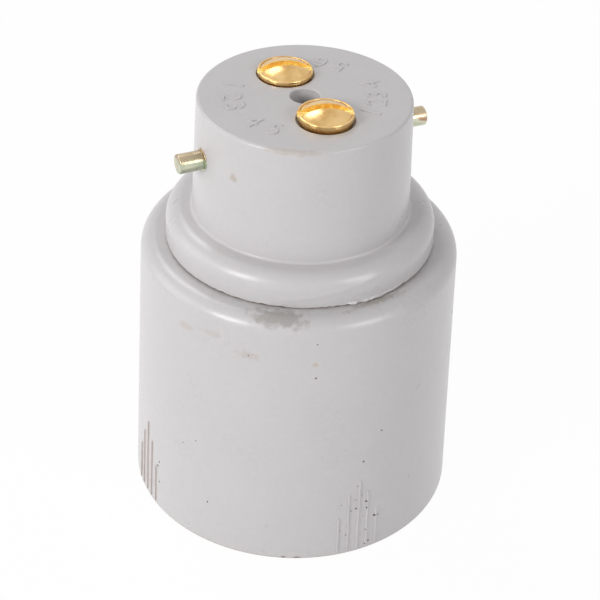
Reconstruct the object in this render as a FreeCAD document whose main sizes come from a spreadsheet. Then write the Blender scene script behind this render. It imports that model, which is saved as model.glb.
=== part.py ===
import FreeCAD, Part
import math
import os
import re

import Sketcher

# Lamp socket adapter: a bayonet lamp cap on top of a screw lamp socket.
#
# Lengths are in millimetres and angles in degrees. The origin is the centre of the open mouth, +Z runs
# up the axis to the bayonet end, and +X runs along the two bayonet pins.

# Driving sizes: name, value, meaning
SIZES = [
    # Sleeve, the wide lower moulding
    ("shoulder_height", 30.35, "mouth plane to the flat shoulder"),
    ("bore_play", 1.4, "thread shell to the bore at the mouth"),
    ("bore_draft", 0.5, "how much less the bore's radius is at its floor"),
    ("mouth_wall", 2.15, "wall of the sleeve at its mouth"),
    ("sleeve_draft", 0.8, "how much less the sleeve's outer radius is at the shoulder"),
    ("shoulder_rounding", 1.7, "rounding of the outer shoulder edge"),
    ("mouth_bevel", 0.3, "broken edges of the mouth, outside and inside"),
    ("bore_corner", 0.8, "sloping corner between the bore and the floor"),
    ("floor_thickness", 2.5, "wall under the shoulder, which the screws clamp"),
    ("seat_clearance", 0.1, "play round and under the cap's spigot"),
    # Grip ribs on the sleeve
    ("rib_groups", 4, "groups of ribs round the mouth"),
    ("rib_pitch", 1.1, "rib to rib round the sleeve"),
    ("rib_width", 0.28, "width of one rib"),
    ("rib_relief", 0.15, "how far a rib stands out"),
    ("rib_foot", 0.45, "lower ends of the ribs above the mouth"),
    ("rib_long", 9.6, "top of the middle rib above the mouth"),
    ("rib_medium", 7.8, "top of the ribs beside it"),
    ("rib_short", 5.2, "top of the outer ribs"),
    # Bayonet cap, the upper moulding
    ("collar_height", 3.6, "shoulder to the top of the collar"),
    ("collar_ledge", 2.7, "how far the collar stands out round the neck"),
    ("collar_rounding", 1.7, "rounding of the collar's upper edge"),
    ("neck_height", 12.5, "collar to the end face"),
    ("neck_base_radius", 11.2, "neck at the collar"),
    ("neck_draft", 0.4, "how much less the neck's radius is at the end face"),
    ("neck_root", 0.25, "small slope between the collar and the neck"),
    ("neck_top_bevel", 0.3, "broken edge of the end face"),
    ("end_wall", 3.0, "thickness of the end face"),
    ("neck_wall", 2.3, "wall of the neck, inside which the cap is hollow"),
    ("spigot_wall", 2.1, "ring that centres the cap in the sleeve"),
    ("spigot_length", 1.2, "how far that ring reaches below the shoulder"),
    ("boss_root", 0.8, "how far bosses and webs run into the walls that carry them"),
    ("screw_boss_wall", 1.4, "wall of the tube round each screw inside the cap"),
    ("web_width", 1.2, "web from a screw tube to the wall"),
    ("centre_hole_radius", 1.5, "small hole in the middle of the end face"),
    # Contact screws and their holes
    ("screw_spacing", 9.8, "screw to screw across the axis"),
    ("screw_radius", 1.5, "shank of a contact screw"),
    ("screw_grip", 1.9, "how far the rear screw reaches below the sleeve's floor"),
    ("screw_point", 0.3, "chamfer at the end of the shank"),
    ("screw_clearance", 0.1, "play round the shank in a hole"),
    ("head_radius", 2.82, "rim of a screw head"),
    ("head_rim_height", 1.0, "straight side of a screw head"),
    ("rim_ledge", 0.16, "rim of a screw head round the foot of its dome"),
    ("dome_height", 0.7, "dome above the rim"),
    ("slot_width", 0.95, "screwdriver slot"),
    ("slot_depth", 1.0, "slot below the top of the dome"),
    ("front_slot_turn", -17.0, "direction of the front slot from +X"),
    ("rear_slot_turn", -15.0, "direction of the rear slot from +X"),
    ("recess_clearance", 0.1, "play round a screw head in its recess"),
    ("recess_depth", 0.5, "depth of the recess under a screw head"),
    ("front_screw_lift", 0.3, "the front screw stands this much proud of its seat"),
    # Bayonet pins
    ("pin_drop", 5.0, "end face down to the pins' axis"),
    ("pin_radius", 1.0, "free end of a pin"),
    ("pin_stand_out", 2.59, "how far a pin stands out of the neck"),
    ("pin_edge", 0.15, "chamfer at the outer end of a pin"),
    ("pin_shank_radius", 1.18, "serrated shank held in the neck"),
    ("pin_grip", 4.56, "how far a pin reaches into the neck"),
    ("pin_shank_proud", 0.05, "shank standing out of the neck"),
    ("pin_fit", 0.01, "play round the serrated shank"),
    ("pin_boss_half", 2.2, "half the width of the block round a shank"),
    ("pin_boss_end", 0.8, "plastic behind the inner end of a pin"),
    # Screw shell, thin sheet with a rolled thread
    ("sheet", 0.35, "thickness of the shell"),
    ("shell_mouth_height", 2.2, "mouth plane to the edge of the shell"),
    ("thread_pitch", 3.629, "pitch of the rolled thread"),
    ("thread_turns", 4, "turns of the rolled thread"),
    ("thread_minor_radius", 12.255, "inside of the shell at the crests"),
    ("thread_depth", 1.096, "crest to root, measured across the axis"),
    ("crest_flat", 0.9, "straight length of a crest"),
    ("root_flat", 0.9, "straight length of a root"),
    ("first_crest_height", 5.0, "mouth plane to the first crest"),
    ("cup_step", 0.545, "how much wider the shell is above the thread than at the crests"),
    ("shell_corner", 0.9, "slope between the shell's wall and its end, inside"),
    ("window_radius", 6.2, "window in the shell's end, clear of the live parts"),
    ("window_offset", 4.8, "axis to the middle of that window"),
    # Centre contact, a folded strip
    ("strip", 0.5, "thickness of the contact strip"),
    ("strip_width", 5.0, "width of the contact strip"),
    ("strip_bend", 0.5, "bend radius at the middle of the strip's thickness"),
    ("strip_crown", 1.6, "bend radius where the lamp's tip is met"),
    ("strip_end_rounding", 1.0, "rounding of the strip's free corners"),
    ("fold_gap", 0.1, "nut to the start of the fold"),
    ("strip_root_end", 1.7, "axis to the clamped end of the strip"),
    ("arm_drop", 3.0, "clamped end down to the arm where it leaves the fold"),
    ("crown_drop", 4.5, "clamped end down to the crown that meets the lamp"),
    ("crown_offset", 0.3, "axis to the crown, on the screw's side"),
    ("tip_drop", 4.1, "clamped end down to the tip of the arm"),
    ("tip_offset", 1.0, "axis to the tip, past the crown"),
    # Nuts
    ("nut_flats", 5.5, "across the flats"),
    ("nut_height", 1.8, "thickness of a nut"),
    ("nut_bevel", 30.0, "angle of the bevel on a nut's corners"),
    ("nut_fit", 0.02, "play between a nut and the screw"),
]

# Sizes and places worked out from the driving sizes
THREAD_MAJOR = "(thread_minor_radius + thread_depth)"
SHELL_CUP = "(thread_minor_radius + cup_step)"
BORE_MOUTH = f"({THREAD_MAJOR} + sheet + bore_play)"
BORE_FLOOR = f"({BORE_MOUTH} - bore_draft)"
SLEEVE_MOUTH = f"({BORE_MOUTH} + mouth_wall)"
SLEEVE_SHOULDER = f"({SLEEVE_MOUTH} - sleeve_draft)"
COLLAR_RADIUS = "(neck_base_radius + collar_ledge)"
NECK_TOP = "(neck_base_radius - neck_draft)"
CAVITY_TOP_RADIUS = f"({NECK_TOP} - neck_wall)"
CAVITY_MOUTH_RADIUS = "(neck_base_radius - neck_wall)"
SPIGOT_RADIUS = f"({CAVITY_MOUTH_RADIUS} + spigot_wall)"
COLLAR_TOP = "(shoulder_height + collar_height)"
CAP_TOP = "(shoulder_height + collar_height + neck_height)"
FLOOR = "(shoulder_height - floor_thickness)"
SPIGOT_END = "(shoulder_height - spigot_length)"
SEAT_RADIUS = f"({SPIGOT_RADIUS} + seat_clearance)"
SEAT_FLOOR = "(shoulder_height - spigot_length - seat_clearance)"
CAVITY_TOP = "(shoulder_height + collar_height + neck_height - end_wall)"
SCREW_Y = "(screw_spacing / 2)"
SCREW_HOLE = "(screw_radius + screw_clearance)"
SCREW_TUBE = f"({SCREW_HOLE} + screw_boss_wall)"
SCREW_LENGTH = f"({CAP_TOP} - recess_depth - {FLOOR} + screw_grip)"
DOME_RADIUS = "(head_radius - rim_ledge)"
PIN_HEIGHT = "(shoulder_height + collar_height + neck_height - pin_drop)"
NECK_AT_PIN = f"({NECK_TOP} + neck_draft * pin_drop / neck_height)"
PIN_END = f"({NECK_AT_PIN} + pin_stand_out)"
PIN_SEAT = f"({NECK_AT_PIN} - pin_grip)"
PIN_SHOULDER = f"({NECK_AT_PIN} + pin_shank_proud)"
LAST_CREST = "(first_crest_height + thread_pitch * thread_turns)"
FLANK_RUN = "((thread_pitch - crest_flat - root_flat) / 2)"
SHEET_SHIFT = f"(sheet * tan(atan(thread_depth / {FLANK_RUN}) / 2))"
SHELL_END = f"({FLOOR} - sheet)"
NUT_Y = f"({SCREW_Y} + nut_flats / 2)"
FOLD_Y = f"({NUT_Y} + fold_gap + strip_bend)"
STRIP_ROOT = f"({FLOOR} - strip / 2)"
ARM_HEIGHT = f"({STRIP_ROOT} - arm_drop)"
CROWN_HEIGHT = f"({STRIP_ROOT} - crown_drop)"
TIP_HEIGHT = f"({STRIP_ROOT} - tip_drop)"

PINS = "2"
GRIP_RIBS = ["rib_short", "rib_medium", "rib_long", "rib_medium", "rib_short"]

# A turned piece starts its turn here, so that its seam lies clear of the ribs, pins and screws.
SEAM = "45"

# Lengths that differ by less than this are the same.
SAME = 1e-3

doc = FreeCAD.newDocument("LampSocketAdapter")
table = doc.addObject("Spreadsheet::Sheet", "Sizes")
for row, (name, number, meaning) in enumerate(SIZES, 1):
    table.set(f"A{row}", name)
    table.set(f"B{row}", str(number))
    table.setAlias(f"B{row}", name)
    table.set(f"C{row}", meaning)
doc.recompute()
ALIASES = {name for name, number, meaning in SIZES}


def from_table(expression):
    """The expression with each size written as its cell in the spreadsheet."""
    def cell(word):
        return "Sizes." + word.group() if word.group() in ALIASES else word.group()
    return re.sub(r"[A-Za-z_]\w*", cell, expression)


def value(expression):
    """The number that an expression in the driving sizes gives."""
    result = table.evalExpression(from_table(expression))
    return float(getattr(result, "Value", result))


def bind(thing, prop, expression):
    """Tie one property of an object to the spreadsheet."""
    thing.setExpression(prop, from_table(expression))


# Sketches

def new_body(label):
    body = doc.addObject("PartDesign::Body", label)
    body.Label = label
    return body


def sketch_on(body, name, plane, offset="0", turn="0"):
    """A sketch on an origin plane of its body, moved along the plane's normal or turned about +Z."""
    sketch = body.newObject("Sketcher::SketchObject", name)
    support = [feature for feature in body.Origin.OriginFeatures if feature.Role == plane]
    sketch.AttachmentSupport = [(support[0], "")]
    sketch.MapMode = "FlatFace"
    # On the XZ plane the sketch's own vertical axis is +Z.
    rotation = FreeCAD.Rotation(FreeCAD.Vector(0, 1, 0), value(turn))
    sketch.AttachmentOffset = FreeCAD.Placement(FreeCAD.Vector(0, 0, value(offset)), rotation)
    bind(sketch, ".AttachmentOffset.Base.z", offset)
    if turn != "0":
        bind(sketch, ".AttachmentOffset.Rotation.Angle", turn)
    return sketch


def hold(sketch, geometry, point, across, up):
    """Fix one point of a sketch at a place given in driving sizes."""
    for axis, direction, expression in ((-2, "DistanceX", across), (-1, "DistanceY", up)):
        distance = value(expression)
        if abs(distance) < SAME:
            sketch.addConstraint(Sketcher.Constraint("PointOnObject", geometry, point, axis))
        elif distance > 0:
            number = sketch.addConstraint(
                Sketcher.Constraint(direction, -1, 1, geometry, point, distance))
            bind(sketch, f"Constraints[{number}]", expression)
        else:
            number = sketch.addConstraint(
                Sketcher.Constraint(direction, geometry, point, -1, 1, -distance))
            bind(sketch, f"Constraints[{number}]", f"-({expression})")


def outline(sketch, corners):
    """A closed outline of straight edges."""
    points = [FreeCAD.Vector(value(across), value(up), 0) for across, up in corners]
    for start, end in zip(points, points[1:] + points[:1]):
        sketch.addGeometry(Part.LineSegment(start, end), False)
    last = len(corners) - 1
    for number, (across, up) in enumerate(corners):
        before = last if number == 0 else number - 1
        sketch.addConstraint(Sketcher.Constraint("Coincident", before, 2, number, 1))
        hold(sketch, number, 1, across, up)


def rectangle(sketch, left, right, bottom, top):
    """A rectangle given by its four sides, as one more loop of a sketch."""
    corners = [(left, bottom), (right, bottom), (right, top), (left, top)]
    points = [FreeCAD.Vector(value(across), value(up), 0) for across, up in corners]
    first = sketch.GeometryCount
    for start, end in zip(points, points[1:] + points[:1]):
        sketch.addGeometry(Part.LineSegment(start, end), False)
    for number, (across, up) in enumerate(corners):
        before = first + (number - 1) % len(corners)
        sketch.addConstraint(Sketcher.Constraint("Coincident", before, 2, first + number, 1))
        hold(sketch, first + number, 1, across, up)


def circle(sketch, across, up, radius):
    centre = FreeCAD.Vector(value(across), value(up), 0)
    number = sketch.addGeometry(Part.Circle(centre, FreeCAD.Vector(0, 0, 1), value(radius)), False)
    hold(sketch, number, 3, across, up)
    size = sketch.addConstraint(Sketcher.Constraint("Radius", number, value(radius)))
    bind(sketch, f"Constraints[{size}]", radius)


def bent_line(sketch, corners, radii):
    """An open line with a tangent arc at each inner corner: the path of a bent strip."""
    points = [FreeCAD.Vector(value(across), value(up), 0) for across, up in corners]
    start = points[0]
    for before, corner, after, radius in zip(points, points[1:], points[2:], radii):
        back = (before - corner).normalize()
        ahead = (after - corner).normalize()
        half = math.acos(back.dot(ahead)) / 2
        reach = value(radius) / math.tan(half)
        middle = corner + (back + ahead).normalize() * (value(radius) / math.sin(half))
        arc_start = corner + back * reach
        arc_end = corner + ahead * reach
        arc_middle = middle + (corner - middle).normalize() * value(radius)
        sketch.addGeometry(Part.LineSegment(start, arc_start), False)
        sketch.addGeometry(Part.Arc(arc_start, arc_middle, arc_end), False)
        start = arc_end
    sketch.addGeometry(Part.LineSegment(start, points[-1]), False)


# Features

def turned(body, name, sketch, kind="Revolution", axis="V_Axis"):
    """A full turn of a sketch about one of its own axes."""
    feature = body.newObject(f"PartDesign::{kind}", name)
    feature.Profile = sketch
    feature.ReferenceAxis = (sketch, [axis])
    feature.Angle = 360
    doc.recompute()
    return feature


def pad(body, name, sketch, length):
    feature = body.newObject("PartDesign::Pad", name)
    feature.Profile = sketch
    bind(feature, "Length", length)
    doc.recompute()
    return feature


def cut_through(body, name, sketch, outward=False):
    """Cut a sketch away all through, against the sketch's normal or along it."""
    before = body.Tip.Shape.Volume
    feature = body.newObject("PartDesign::Pocket", name)
    feature.Profile = sketch
    feature.Type = "ThroughAll"
    feature.Reversed = outward
    doc.recompute()
    if feature.Shape.Volume >= before:
        raise RuntimeError(f"{name} cuts nothing")
    return feature


def circular_edges(shape, places):
    """The names of the full circles of a shape that lie at the given radii and heights."""
    names = []
    for number, edge in enumerate(shape.Edges, 1):
        if not isinstance(edge.Curve, Part.Circle):
            continue
        for across, up in places:
            same_radius = abs(edge.Curve.Radius - value(across)) < SAME
            same_height = abs(edge.Curve.Center.z - value(up)) < SAME
            if same_radius and same_height and edge.isClosed():
                names.append(f"Edge{number}")
    if len(names) != len(places):
        raise RuntimeError(f"{len(names)} edges found for {len(places)} places")
    return names


def round_over(body, name, radius, places):
    """Round the circular edges at the given radii and heights."""
    base = body.Tip
    feature = body.newObject("PartDesign::Fillet", name)
    feature.Base = (base, circular_edges(base.Shape, places))
    feature.Radius = value(radius)
    bind(feature, "Radius", radius)
    doc.recompute()


def bevel(body, name, size, places):
    """Break the circular edges at the given radii and heights with a small flat."""
    base = body.Tip
    feature = body.newObject("PartDesign::Chamfer", name)
    feature.Base = (base, circular_edges(base.Shape, places))
    feature.Size = value(size)
    bind(feature, "Size", size)
    doc.recompute()


def repeat_round(body, name, features, count):
    """Copies of features evenly round +Z."""
    feature = body.newObject("PartDesign::PolarPattern", name)
    feature.Originals = features
    upright = [axis for axis in body.Origin.OriginFeatures if axis.Role == "Z_Axis"]
    feature.Axis = (upright[0], [""])
    feature.Angle = 360
    feature.Occurrences = round(value(count))
    bind(feature, "Occurrences", count)
    body.Tip = feature
    doc.recompute()
    return feature


def repeat_along(body, name, features, pitch, count):
    """Copies of features up +Z, one pitch apart."""
    feature = body.newObject("PartDesign::LinearPattern", name)
    feature.Originals = features
    upright = [axis for axis in body.Origin.OriginFeatures if axis.Role == "Z_Axis"]
    feature.Direction = (upright[0], [""])
    feature.Mode = "Spacing"
    feature.Offset = value(pitch)
    bind(feature, "Offset", pitch)
    feature.Occurrences = round(value(count))
    bind(feature, "Occurrences", count)
    body.Tip = feature
    doc.recompute()
    return feature


def primitive(kind, name, sizes, base=None, turn=None):
    """A Part primitive with its sizes, its height and its turn about +Z tied to the spreadsheet."""
    solid = doc.addObject(f"Part::{kind}", name)
    for prop, expression in sizes.items():
        bind(solid, prop, expression)
    for axis, expression in (base or {}).items():
        bind(solid, f".Placement.Base.{axis}", expression)
    if turn:
        solid.Placement = FreeCAD.Placement(
            FreeCAD.Vector(), FreeCAD.Rotation(FreeCAD.Vector(0, 0, 1), value(turn)))
        bind(solid, ".Placement.Rotation.Angle", turn)
    return solid


def boolean(kind, name, base, tool):
    result = doc.addObject(f"Part::{kind}", name)
    result.Base = base
    result.Tool = tool
    return result


# Sub-parts

def make_sleeve():
    """The lower housing: a drafted cup, open downwards, with its floor under the shoulder."""
    body = new_body("sleeve")
    section = sketch_on(body, "sleeve_section", "XZ_Plane", turn=SEAM)
    outline(section, [
        (BORE_MOUTH, "0"),
        (SLEEVE_MOUTH, "0"),
        (SLEEVE_SHOULDER, "shoulder_height"),
        (SEAT_RADIUS, "shoulder_height"),
        (SEAT_RADIUS, SEAT_FLOOR),
        ("0", SEAT_FLOOR),
        ("0", FLOOR),
        (BORE_FLOOR, FLOOR),
    ])
    turned(body, "sleeve_turned", section)
    round_over(body, "shoulder_edge", "shoulder_rounding", [(SLEEVE_SHOULDER, "shoulder_height")])
    bevel(body, "mouth_edges", "mouth_bevel", [
        (SLEEVE_MOUTH, "0"),
        (BORE_MOUTH, "0"),
    ])
    bevel(body, "bore_corner_slope", "bore_corner", [(BORE_FLOOR, FLOOR)])

    ribs = []
    draft = f"({SLEEVE_MOUTH} - {SLEEVE_SHOULDER}) / shoulder_height"
    wall_low = f"({SLEEVE_MOUTH} - rib_foot * {draft})"
    for number, top in enumerate(GRIP_RIBS):
        place = number - (len(GRIP_RIBS) - 1) / 2
        turn = f"({place} * rib_pitch / {SLEEVE_MOUTH} * 180 / pi)"
        rib = sketch_on(body, f"rib_section_{number + 1}", "XZ_Plane", turn=turn)
        wall_high = f"({SLEEVE_MOUTH} - {top} * {draft})"
        outline(rib, [
            (f"{wall_low} - rib_relief", "rib_foot"),
            (f"{wall_low} + rib_relief", "rib_foot"),
            (f"{wall_high} + rib_relief", top),
            (f"{wall_high} - rib_relief", top),
        ])
        slice_of_turn = body.newObject("PartDesign::Revolution", f"rib_{number + 1}")
        slice_of_turn.Profile = rib
        slice_of_turn.ReferenceAxis = (rib, ["V_Axis"])
        slice_of_turn.Midplane = True
        bind(slice_of_turn, "Angle", f"rib_width / {SLEEVE_MOUTH} * 180 / pi")
        doc.recompute()
        ribs.append(slice_of_turn)
    repeat_round(body, "rib_groups_round", ribs, "rib_groups")

    holes = sketch_on(body, "sleeve_screw_holes", "XY_Plane", SEAT_FLOOR)
    circle(holes, "0", SCREW_Y, SCREW_HOLE)
    circle(holes, "0", f"-{SCREW_Y}", SCREW_HOLE)
    cut_through(body, "sleeve_screw_holes_cut", holes)
    return body


def make_bayonet_cap():
    """The upper housing: neck and collar, hollow below, with tubes for the screws and blocks for the pins."""
    body = new_body("bayonet_cap")
    section = sketch_on(body, "cap_section", "XZ_Plane", turn=SEAM)
    outline(section, [
        ("0", CAP_TOP),
        ("0", CAVITY_TOP),
        (CAVITY_TOP_RADIUS, CAVITY_TOP),
        (CAVITY_MOUTH_RADIUS, SPIGOT_END),
        (SPIGOT_RADIUS, SPIGOT_END),
        (SPIGOT_RADIUS, "shoulder_height"),
        (COLLAR_RADIUS, "shoulder_height"),
        (COLLAR_RADIUS, COLLAR_TOP),
        ("neck_base_radius", COLLAR_TOP),
        (NECK_TOP, CAP_TOP),
    ])
    turned(body, "cap_turned", section)
    round_over(body, "collar_edge", "collar_rounding", [(COLLAR_RADIUS, COLLAR_TOP)])
    bevel(body, "neck_root_slope", "neck_root", [("neck_base_radius", COLLAR_TOP)])
    bevel(body, "neck_top_edge", "neck_top_bevel", [(NECK_TOP, CAP_TOP)])

    tubes = sketch_on(body, "screw_tubes", "XY_Plane", SPIGOT_END)
    circle(tubes, "0", SCREW_Y, SCREW_TUBE)
    circle(tubes, "0", f"-{SCREW_Y}", SCREW_TUBE)
    pad(body, "screw_tubes_up", tubes, f"{CAVITY_TOP} - {SPIGOT_END} + boss_root")

    webs = sketch_on(body, "tube_webs", "XY_Plane", SPIGOT_END)
    web_end = f"({CAVITY_MOUTH_RADIUS} + boss_root)"
    rectangle(webs, "-web_width / 2", "web_width / 2", SCREW_Y, web_end)
    rectangle(webs, "-web_width / 2", "web_width / 2", f"-{web_end}", f"-{SCREW_Y}")
    pad(body, "tube_webs_up", webs, f"{CAVITY_TOP} - {SPIGOT_END} + boss_root")

    blocks_foot = f"({PIN_HEIGHT} - pin_boss_half)"
    blocks = sketch_on(body, "pin_blocks", "XY_Plane", blocks_foot)
    block_start = f"({PIN_SEAT} - pin_boss_end)"
    block_end = f"({CAVITY_TOP_RADIUS} + boss_root)"
    rectangle(blocks, block_start, block_end, "-pin_boss_half", "pin_boss_half")
    rectangle(blocks, f"-{block_end}", f"-{block_start}", "-pin_boss_half", "pin_boss_half")
    pad(body, "pin_blocks_up", blocks, f"{CAVITY_TOP} - {blocks_foot} + boss_root")

    drilled = sketch_on(body, "pin_hole", "YZ_Plane", PIN_SEAT)
    circle(drilled, "0", PIN_HEIGHT, "pin_shank_radius + pin_fit")
    pin_hole = cut_through(body, "pin_hole_cut", drilled, outward=True)
    repeat_round(body, "pin_holes_both", [pin_hole], PINS)

    centres = sketch_on(body, "screw_centres", "XY_Plane", CAP_TOP)
    circle(centres, "0", SCREW_Y, SCREW_HOLE)
    circle(centres, "0", f"-{SCREW_Y}", SCREW_HOLE)
    doc.recompute()
    bored = body.newObject("PartDesign::Hole", "screw_holes_and_recesses")
    bored.Profile = centres
    doc.recompute()
    bored.ThreadType = "None"
    bored.DepthType = "ThroughAll"
    bored.HoleCutType = "Counterbore"
    bind(bored, "Diameter", f"2 * {SCREW_HOLE}")
    bind(bored, "HoleCutDiameter", "2 * (head_radius + recess_clearance)")
    bind(bored, "HoleCutDepth", "recess_depth")
    doc.recompute()

    middle = sketch_on(body, "centre_hole", "XY_Plane", CAP_TOP)
    circle(middle, "0", "0", "centre_hole_radius")
    cut_through(body, "centre_hole_cut", middle)
    return body


def make_bayonet_pin(label, turn):
    """A turned pin: a serrated shank in the neck and a free end with a broken edge."""
    body = new_body(label)
    section = sketch_on(body, f"{label}_section", "XZ_Plane")
    outline(section, [
        (PIN_SEAT, "0"),
        (PIN_END, "0"),
        (PIN_END, "pin_radius - pin_edge"),
        (f"{PIN_END} - pin_edge", "pin_radius"),
        (PIN_SHOULDER, "pin_radius"),
        (PIN_SHOULDER, "pin_shank_radius"),
        (PIN_SEAT, "pin_shank_radius"),
    ])
    turned(body, f"{label}_turned", section, axis="H_Axis")
    body.Placement = FreeCAD.Placement(
        FreeCAD.Vector(), FreeCAD.Rotation(FreeCAD.Vector(0, 0, 1), turn))
    bind(body, ".Placement.Base.z", PIN_HEIGHT)
    return body


def make_contact_screw(label, side, lift, slot_turn):
    """A slotted screw with a domed head on a thin rim. Its own origin is under the head."""
    shank = primitive("Cylinder", f"{label}_shank", {
        "Radius": "screw_radius",
        "Height": f"{SCREW_LENGTH} - screw_point",
    }, {"z": f"screw_point - {SCREW_LENGTH}"})
    point = primitive("Cone", f"{label}_point", {
        "Radius1": "screw_radius - screw_point",
        "Radius2": "screw_radius",
        "Height": "screw_point",
    }, {"z": f"-{SCREW_LENGTH}"})
    rim = primitive("Cylinder", f"{label}_rim", {"Radius": "head_radius", "Height": "head_rim_height"})
    sphere_radius = f"(({DOME_RADIUS} ^ 2 + dome_height ^ 2) / (2 * dome_height))"
    ball = primitive("Sphere", f"{label}_ball", {"Radius": sphere_radius},
                     {"z": f"head_rim_height + dome_height - {sphere_radius}"})
    blank = primitive("Cylinder", f"{label}_blank", {
        "Radius": DOME_RADIUS,
        "Height": "head_rim_height + dome_height",
    })
    dome = boolean("Common", f"{label}_dome", ball, blank)
    head = boolean("Fuse", f"{label}_head", rim, dome)
    tip = boolean("Fuse", f"{label}_tip", shank, point)
    whole = boolean("Fuse", f"{label}_whole", head, tip)

    cutter = primitive("Box", f"{label}_cutter", {
        "Length": "4 * head_radius",
        "Width": "slot_width",
        "Height": "2 * slot_depth",
    }, {
        "x": "-2 * head_radius",
        "y": "-slot_width / 2",
        "z": "head_rim_height + dome_height - slot_depth",
    })
    body = boolean("Cut", label, whole, cutter)
    body.Label = label
    body.Placement = FreeCAD.Placement(
        FreeCAD.Vector(), FreeCAD.Rotation(FreeCAD.Vector(0, 0, 1), value(slot_turn)))
    bind(body, ".Placement.Rotation.Angle", slot_turn)
    bind(body, ".Placement.Base.y", f"{side} * {SCREW_Y}")
    bind(body, ".Placement.Base.z", f"{CAP_TOP} - recess_depth + {lift}")
    return body


def make_contact_nut(label, side, seat):
    """A thin hexagonal nut, chamfered on the side away from its seat, with two flats facing along Y."""
    hexagon = primitive("Prism", f"{label}_hexagon", {
        "Circumradius": "nut_flats / (2 * cos(30))",
        "Height": "nut_height",
    })
    hexagon.Polygon = 6
    cone = primitive("Cone", f"{label}_cone", {
        "Radius1": "nut_flats / 2",
        "Radius2": "nut_flats / 2 + nut_height / tan(nut_bevel)",
        "Height": "nut_height",
    })
    blank = boolean("Common", f"{label}_blank", hexagon, cone)
    bore = primitive("Cylinder", f"{label}_bore", {
        "Radius": "screw_radius + nut_fit",
        "Height": "nut_height",
    })
    body = boolean("Cut", label, blank, bore)
    body.Label = label
    bind(body, ".Placement.Base.y", f"{side} * {SCREW_Y}")
    bind(body, ".Placement.Base.z", f"{seat} - nut_height")
    return body


def make_thread_shell():
    """A drawn cup of thin sheet with its thread rolled in, drawn as rings one pitch apart.

    Every face pair lies one sheet apart, so the same bulge shows inside and out. The end has a window
    round the live parts and a hole for the screw that clamps the shell.
    """
    body = new_body("thread_shell")
    crest_half = "crest_flat / 2"
    cup_run = f"({FLANK_RUN} * ({SHELL_CUP} - thread_minor_radius) / thread_depth)"
    section = sketch_on(body, "shell_section", "XZ_Plane", turn=SEAM)
    outline(section, [
        (THREAD_MAJOR, "shell_mouth_height"),
        (THREAD_MAJOR, f"first_crest_height - {crest_half} - {FLANK_RUN}"),
        ("thread_minor_radius", f"first_crest_height - {crest_half}"),
        ("thread_minor_radius", f"{LAST_CREST} + {crest_half}"),
        (SHELL_CUP, f"{LAST_CREST} + {crest_half} + {cup_run}"),
        (SHELL_CUP, SHELL_END),
        ("0", SHELL_END),
        ("0", FLOOR),
        (f"{SHELL_CUP} + sheet", FLOOR),
        (f"{SHELL_CUP} + sheet", f"{LAST_CREST} + {crest_half} + {cup_run} - {SHEET_SHIFT}"),
        ("thread_minor_radius + sheet", f"{LAST_CREST} + {crest_half} - {SHEET_SHIFT}"),
        ("thread_minor_radius + sheet", f"first_crest_height - {crest_half} + {SHEET_SHIFT}"),
        (f"{THREAD_MAJOR} + sheet", f"first_crest_height - {crest_half} - {FLANK_RUN} + {SHEET_SHIFT}"),
        (f"{THREAD_MAJOR} + sheet", "shell_mouth_height"),
    ])
    turned(body, "shell_turned", section)

    ring_middle = "(first_crest_height + thread_pitch / 2)"
    outer_half = f"(root_flat / 2 + {SHEET_SHIFT})"
    bulge_section = sketch_on(body, "bulge_section", "XZ_Plane", turn=SEAM)
    outline(bulge_section, [
        ("thread_minor_radius + sheet / 2", f"{ring_middle} - {outer_half} - {FLANK_RUN}"),
        ("thread_minor_radius + sheet", f"{ring_middle} - {outer_half} - {FLANK_RUN}"),
        (f"{THREAD_MAJOR} + sheet", f"{ring_middle} - {outer_half}"),
        (f"{THREAD_MAJOR} + sheet", f"{ring_middle} + {outer_half}"),
        ("thread_minor_radius + sheet", f"{ring_middle} + {outer_half} + {FLANK_RUN}"),
        ("thread_minor_radius + sheet / 2", f"{ring_middle} + {outer_half} + {FLANK_RUN}"),
    ])
    bulge = turned(body, "bulge", bulge_section)
    root_section = sketch_on(body, "root_section", "XZ_Plane", turn=SEAM)
    outline(root_section, [
        ("thread_minor_radius - sheet / 2", f"{ring_middle} - root_flat / 2 - {FLANK_RUN}"),
        ("thread_minor_radius", f"{ring_middle} - root_flat / 2 - {FLANK_RUN}"),
        (THREAD_MAJOR, f"{ring_middle} - root_flat / 2"),
        (THREAD_MAJOR, f"{ring_middle} + root_flat / 2"),
        ("thread_minor_radius", f"{ring_middle} + root_flat / 2 + {FLANK_RUN}"),
        ("thread_minor_radius - sheet / 2", f"{ring_middle} + root_flat / 2 + {FLANK_RUN}"),
    ])
    root = turned(body, "root", root_section, kind="Groove")
    repeat_along(body, "rolled_thread", [bulge, root], "thread_pitch", "thread_turns")

    # On a 45 degree slope, the two faces lie one sheet apart when the outer one is this much larger.
    bevel(body, "shell_corner_outside", "shell_corner + sheet * (2 - sqrt(2))",
          [(f"{SHELL_CUP} + sheet", FLOOR)])
    bevel(body, "shell_corner_inside", "shell_corner", [(SHELL_CUP, SHELL_END)])

    openings = sketch_on(body, "shell_end_openings", "XY_Plane", FLOOR)
    circle(openings, "0", "-window_offset", "window_radius")
    circle(openings, "0", SCREW_Y, SCREW_HOLE)
    cut_through(body, "shell_end_openings_cut", openings)
    return body


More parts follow.
